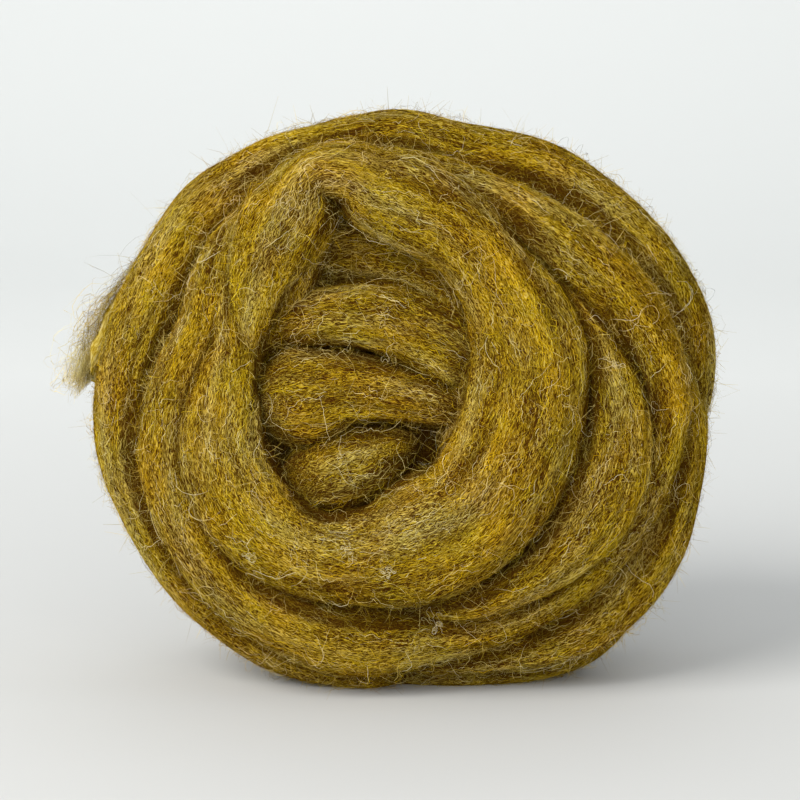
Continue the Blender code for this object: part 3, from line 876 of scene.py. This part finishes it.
def add_fibres(strands, rng):
    """The combed fibres on the skins, a piece for each colour."""
    lots = []
    for kind in (COMBED, LOOSER):
        for strand, u, v in rooted(strands, kind.count, FIBRES_IN_FRONT, rng):
            points, outward = laid(strand, u, v, kind, rng)
            width = kind.width * rng.uniform(*SIZE_RANGE, len(u)) * MM
            grids = (strand.tint, strand.pale, strand.painted_shade)
            tint, pale, painted_shade = (read(grid[..., None], u, v)[:, 0] for grid in grids)
            # Painted shade: a fibre in a valley leans to the darker dyes.
            lots.append((points, outward, width, tint - PAINTED_SHADE_TINT * painted_shade, pale, painted_shade))
    points, outward, width, tint, pale, painted_shade = (np.concatenate(column) for column in zip(*lots))
    leanings = [np.exp(dye.golden * (tint - MEAN_TINT) + dye.pale * (pale - MEAN_PALE)) for dye in DYES]
    chance = np.stack([dye.share * leaning for dye, leaning in zip(DYES, leanings)], 1)
    chance = np.cumsum(chance / chance.sum(1, keepdims=True), 1)
    dyed = (rng.random(len(tint))[:, None] > chance).sum(1)
    for number, dye in enumerate(DYES):
        mine = np.flatnonzero(dyed == number)[:MOST_FIBRES]
        widths = tapered(points.shape[1], width[mine], FIBRE_TIPS)
        rings = ribbons(points[mine], outward[mine], widths, rng.normal(0, TWIST, len(mine)))
        # Painted shade: a fibre in a valley is made darker.
        shade = rng.beta(2, 2, len(mine)) - PAINTED_SHADE_DARKER * painted_shade[mine]
        add_fibre_piece(f"{dye.name}_fibres", rings, shade, dye.shades)


# ---- The free hairs ----

CREAM_SHADES = ((0.480, 0.350, 0.090), (0.700, 0.560, 0.210), (0.880, 0.780, 0.460))
HAZE_SHADES = ((0.220, 0.140, 0.010), (0.430, 0.300, 0.040), (0.700, 0.560, 0.190))

# A kind of long free hair. Its curl is in radians to a millimetre, and its tips are a share of its width.
Hair = namedtuple("Hair", "stations length lift curl widths tips shade")
STRAY = Hair(18, 10.0, 0.5, 0.14, (0.045, 0.08), 0.3, (2, 2))
TANGLED = Hair(16, 4.0, 0.3, 1.5, (0.05, 0.1), 0.4, (3, 1.5))
# A hair's crinkle between two stations in radians, its arch's least height, and the pace of its arch.
CRINKLE = 0.35
ARCH = 0.45
ARCH_PACE = 1.15
# How many stray hairs there are, and how much more of them are on the front.
STRAYS = 640
STRAYS_IN_FRONT = 0.6

# Neps, which are small tangles, by their pixels across and down a picture of this size, how many hairs each
# has, and how far apart those start.
NEPS = ((151, 290), (250, 555), (350, 548), (385, 568), (436, 622), (612, 368))
PICTURE = 800
NEP_HAIRS = 10
NEP_SPREAD = 0.45

# The haze's short hairs. Front is how much more of them are on the front, and lean how far they lean aside.
Haze = namedtuple("Haze", "count front stations lengths upright lean root curve widths tips")
HAZE = Haze(42000, 0.35, 3, (0.6, 4.5), (0.02, 0.42), 0.75, 0.2, 0.4, (0.04, 0.07), 0.4)


def straying(nest, starts, hair, rng):
    """Long hairs that wander over the wound body from their starts, lifted off it in a low arch."""
    points = np.empty((len(starts), hair.stations, 3))
    outward = np.empty(points.shape)
    for k, start in enumerate(starts):
        place, normal, _, _ = nest.find_nearest(start)
        heading = Vector(rng.normal(size=3)).cross(normal).normalized()
        step = hair.length * rng.uniform(0.4, 1.5) * MM / (hair.stations - 1)
        high = min(rng.exponential(hair.lift), 4 * hair.lift) + ARCH
        turning = rng.normal(0, hair.curl)
        change = rng.normal(0, hair.curl / 2)
        for i in range(hair.stations):
            t = i / (hair.stations - 1)
            rise = high * math.sin(math.pi * min(t * ARCH_PACE, 1.0)) ** 0.6 * MM
            points[k, i] = place + normal * rise
            outward[k, i] = normal
            turning += rng.normal(0, hair.curl / 2) + change * (0.5 - t)
            swing = turning * step / MM + rng.normal(0, CRINKLE)
            heading = (heading - normal * heading.dot(normal)).normalized()
            heading = heading * math.cos(swing) + normal.cross(heading) * math.sin(swing)
            place, normal, _, _ = nest.find_nearest(place + heading * step)
    return points, outward


def add_straying(name, nest, starts, hair, rng):
    points, outward = straying(nest, starts, hair, rng)
    width = rng.uniform(*hair.widths, len(starts)) * MM
    rings = hairs(points, outward, tapered(hair.stations, width, hair.tips))
    add_fibre_piece(name, rings, rng.beta(*hair.shade, len(starts)), CREAM_SHADES)


def seen_at(nest, across, down):
    """The place on the wound body that the camera sees at a place in the picture."""
    camera = bpy.context.scene.camera
    pixel = VIEW_WIDTH / CAMERA_DISTANCE / PICTURE
    way = Vector(((across - PICTURE / 2) * pixel, (PICTURE / 2 - down) * pixel, -1.0))
    way = camera.rotation_euler.to_matrix() @ way
    return nest.ray_cast(camera.location, way.normalized())[0]


def fuzz(strands, rng):
    """Short free hairs that stand off the skins, for the soft outline."""
    t = np.linspace(0, 1, HAZE.stations)[None, :, None]
    points = []
    outward = []
    for strand, u, v in rooted(strands, HAZE.count, HAZE.front, rng):
        root = read(strand.places, u, v)[:, None]
        normal = unit(read(strand.normals, u, v))[:, None]
        lean = unit(rng.normal(size=(len(u), 1, 3)))
        curve = rng.normal(size=(len(u), 1, 3))
        length = np.clip(rng.gamma(3.0, 0.6, (len(u), 1, 1)), *HAZE.lengths) * MM
        way = unit(normal * rng.uniform(*HAZE.upright, (len(u), 1, 1)) + HAZE.lean * lean)
        hair = way * length * t + curve * length * HAZE.curve * t**2
        points.append(root - normal * HAZE.root * MM + hair)
        outward.append(np.broadcast_to(unit(np.cross(way, lean)), points[-1].shape))
    return np.concatenate(points), np.concatenate(outward)


def add_free_hairs(strands, nest, rng):
    """The hairs that stand off the fibres: long ones, tangles, and the short haze."""
    starts = []
    for strand, u, v in rooted(strands, STRAYS, STRAYS_IN_FRONT, rng):
        starts += read(strand.places, u, v).tolist()
    add_straying("stray_hairs", nest, starts, STRAY, rng)

    middles = [seen_at(nest, *place) for place in NEPS for _ in range(NEP_HAIRS)]
    starts = [middle + Vector(rng.normal(0, NEP_SPREAD, 3)) * MM for middle in middles]
    add_straying("neps", nest, starts, TANGLED, rng)

    points, outward = fuzz(strands, rng)
    widths = tapered(HAZE.stations, rng.uniform(*HAZE.widths, len(points)) * MM, HAZE.tips)
    rings = ribbons(points, outward, widths, rng.uniform(0, np.pi, len(points)))
    add_fibre_piece("haze", rings, rng.beta(2, 2, len(points)), HAZE_SHADES)


# ---- The loose end ----

# How finely the loose end is divided, and the fleece's sizes.
END_ALONG = 36
END_ACROSS = 16
END_THICKNESS = 1.2
FLEECE_LENGTH = 45.0
FLEECE_WIDTH = 16.0
# Pieces that touch stay this far apart.
GAP = 0.4
# Further out than all of the wound body.
OUTSIDE = 100.0
# Where across the loose end the fleece starts, and the share of the width that it takes.
FLEECE_EDGE = 0.03
FLEECE_SPAN = 0.94
# The sway of the fleece's edges, in shares of its width, and the ripple of its face: the waves along and
# across it, where in the noise they start, and their reach.
Waves = namedtuple("Waves", "along across start reach")
SWAY = Waves(9, 2, 8.0, 0.05)
RIPPLE = Waves(6, 5, 3.0, 0.35)
# The fleece's streaks: how many go to a metre across and along it, their colours and their relief.
FLEECE_STREAKS = (3200.0, 260.0, 1.0)
ROOT_COLOURS = ((0.34, UMBER), (0.48, OLIVE), (0.64, MUSTARD), (0.8, STRAW))
TIP_COLOURS = ((0.3, OLIVE), (0.4, MUSTARD), (0.55, STRAW), (0.7, CREAM))
FLEECE_RELIEF = 0.0004

# The loose end's wisps: how far along it they start and end, and how far they spread past its sides.
WISP_START = -0.2
WISP_REACH = 1.35
WISP_SPREAD = 0.15
# The wisps' lengths, places across the loose end and slant are in shares of its size.
Wisps = namedtuple("Wisps", "count stations lengths places slant sunk lift widths twist")
WISPS = Wisps(4200, 9, (0.1, 0.35), (-0.04, 1.04), 0.12, 0.3, 1.2, (0.05, 0.09), 0.7)
# A wisp's waves across, along and off the loose end: their radians over its length, and their reach.
Wave = namedtuple("Wave", "turn reach")
WAVE_ACROSS = Wave(10, 0.035)
WAVE_ALONG = Wave(8, 0.02)
WAVE_OFF = Wave(9, 0.35)
# The share of the loose end over which wisps rise out of the strand, and of their lift at its root.
RISING = 0.25
ROOT_LIFT = 0.4
WISP_SHADES = ((0.110, 0.058, 0.004), (0.500, 0.365, 0.050), (0.850, 0.730, 0.320))
# How much paler they are at its tips than at its root, and where they are neither.
PALER = 0.8
NEITHER = 0.6
# Over its whole length again past its tips, how much further round in degrees and off it they would go, and
# how much further back in degrees before its root.
PAST_TIPS = 14.0
LIFT_PAST_TIPS = 14.0
BEFORE_ROOT = 34.0


def read_share(values, share):
    """Reads a smooth curve through the values at a share of its length."""
    return float(between(values, np.array([share * (len(values) - 1)]))[0])


def end_place(nest, along, across):
    """A place on the loose end's inner face, from its root to past its tips, and the way out from it."""
    reach = min(max(along, 0.0), 1.0)
    angle, lift, front, back = (read_share(column, reach) for column in zip(*LOOSE_END))
    lock = read_share(LOCKS, min(max(across, 0.0), 1.0))
    past = max(along - 1.0, 0.0)
    angle += lock * reach**PARTING + PAST_TIPS * past + BEFORE_ROOT * min(along, 0.0)
    lift += LIFT_PAST_TIPS * past
    depth = front + (back - front) * across
    outward = Vector((math.cos(math.radians(angle)), 0, math.sin(math.radians(angle))))
    middle = Vector((MIDDLE[0], depth, MIDDLE[1])) - Vector(ORIGIN)
    hit = nest.ray_cast((middle + outward * OUTSIDE) * MM, -outward)[0]
    return hit + outward * (GAP + lift) * MM, outward


def waved(waves, along, across):
    place = Vector((along * waves.along, across * waves.across, waves.start))
    return waves.reach * noise.noise(place)


def end_finish():
    fleece = Finish("thinned_wool", roughness=0.9)
    own = fleece.attribute("strand", "Vector")
    streaks = fleece.noise(fleece.scaled(own, FLEECE_STREAKS), roughness=0.7)
    along = fleece.node("ShaderNodeSeparateXYZ", {}, own, output="Y")
    way = along * (1 / (FLEECE_LENGTH * MM))
    root = fleece.ramp(streaks, ROOT_COLOURS)
    tips = fleece.ramp(streaks, TIP_COLOURS)
    fleece.connect("Base Color", fleece.blend(way, root, tips))
    fleece.bump(0.8, FLEECE_RELIEF, streaks)
    return fleece.material


def add_fleece(nest):
    """The loose end's body: a thin ragged sheet on the rim, that lifts off towards its locks."""
    bm = bmesh.new()
    bm.loops.layers.uv.new(BAKE_MAP)
    own = bm.verts.layers.float_vector.new("strand")
    bmesh.ops.create_grid(bm, x_segments=END_ALONG, y_segments=END_ACROSS, size=0.5, calc_uvs=True)
    for vert in bm.verts:
        along, across = vert.co.x + 0.5, vert.co.y + 0.5
        side = FLEECE_EDGE + FLEECE_SPAN * across + waved(SWAY, along, across)
        place, outward = end_place(nest, along, side)
        vert.co = place + outward * waved(RIPPLE, along, across) * MM
        vert[own] = (across * FLEECE_WIDTH * MM, along * FLEECE_LENGTH * MM, 0)
    mesh = meshed("loose_fleece", bm)
    sheet = add_piece("loose_fleece", mesh, end_finish(), "end_wool", "loose_end")
    felt = sheet.modifiers.new("felt", "SOLIDIFY")
    felt.thickness = END_THICKNESS * MM
    felt.offset = -1.0
    return sheet


def add_wisps(nest, rng):
    """Fibres that lie over the loose end, curl up off it, and run on past its tips."""
    ends = np.linspace(WISP_START, WISP_REACH, END_ALONG + 1)
    sides = np.linspace(-WISP_SPREAD, 1 + WISP_SPREAD, END_ACROSS + 1)
    grid = [[end_place(nest, along, across) for across in sides] for along in ends]
    places, ways = (np.array([[spot[k] for spot in row] for row in grid]) for k in (0, 1))
    each = (WISPS.count, 1)
    t = np.linspace(0, 1, WISPS.stations)
    phase = rng.uniform(0, 2 * np.pi, (3, *each))
    along = rng.uniform(WISP_START, 1.0, each) + rng.uniform(*WISPS.lengths, each) * t
    across = rng.uniform(*WISPS.places, each) + rng.normal(0, WISPS.slant, each) * (t - 0.5)
    across += WAVE_ACROSS.reach * np.sin(WAVE_ACROSS.turn * t + phase[0])
    along += WAVE_ALONG.reach * np.sin(WAVE_ALONG.turn * t + phase[1])
    out = np.clip((along - WISP_START) / RISING, 0, 1)
    rise = (END_THICKNESS + WAVE_OFF.reach * np.sin(WAVE_OFF.turn * t + phase[2])) * out - WISPS.sunk
    arch = np.sin(np.pi * t) ** ARCHING * np.clip(along + ROOT_LIFT, 0.2, 1.2)
    rise += rng.exponential(WISPS.lift, each) * arch
    u = np.clip((along - WISP_START) / (WISP_REACH - WISP_START), 0, 1) * END_ALONG
    v = np.clip((across + WISP_SPREAD) / (1 + 2 * WISP_SPREAD), 0, 0.999) * END_ACROSS
    outward = unit(read(ways, u, v))
    points = read(places, u, v) + outward * rise[..., None] * MM
    width = rng.uniform(*WISPS.widths, WISPS.count) * MM
    widths = tapered(WISPS.stations, width, FIBRE_TIPS)
    rings = ribbons(points, outward, widths, rng.normal(0, WISPS.twist, WISPS.count))
    shade = rng.beta(2, 2, WISPS.count) + PALER * (along[:, 0] - NEITHER)
    return add_fibre_piece("loose_wisps", rings, shade, WISP_SHADES, "end_wool")


# ---- Putting it together ----


def add_paper():
    """The pale floor, which curves up behind the roving."""
    bm = bmesh.new()
    bmesh.ops.create_grid(bm, x_segments=2, y_segments=PAPER.pieces, size=0.5)
    for vert in bm.verts:
        run = (vert.co.y + 0.5) * PAPER.length
        bend = min(max(run - PAPER.flat, 0.0) / PAPER.bend, math.pi / 2)
        up = max(run - PAPER.flat - PAPER.bend * math.pi / 2, 0.0)
        back = PAPER.front + min(run, PAPER.flat) + PAPER.bend * math.sin(bend)
        vert.co = (vert.co.x * PAPER.width, back, PAPER.bend * (1 - math.cos(bend)) + up)
    mesh = meshed("paper", bm)
    mesh.materials.append(paper_finish())
    mesh.shade_smooth()
    linked("paper", mesh)


def tree_of(obj):
    bm = bmesh.new()
    bm.from_mesh(obj.data)
    tree = BVHTree.FromBMesh(bm)
    bm.free()
    return tree


def main():
    noise.seed_set(SEED)
    rng = np.random.default_rng(SEED)
    nest = tree_of(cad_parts["wound_roving"])
    bpy.context.scene.view_settings.view_transform = "Standard"
    add_camera()
    add_world()
    for softbox in SOFTBOXES:
        add_softbox(softbox)
    add_paper()

    strands = wound_strands()
    wool = skin_finish()
    for strand in strands:
        strand.settle(nest)
        add_skin(strand, wool)
    add_fibres(strands, rng)
    add_free_hairs(strands, nest, rng)
    sheet = add_fleece(nest)
    wisps = add_wisps(nest, rng)


main()
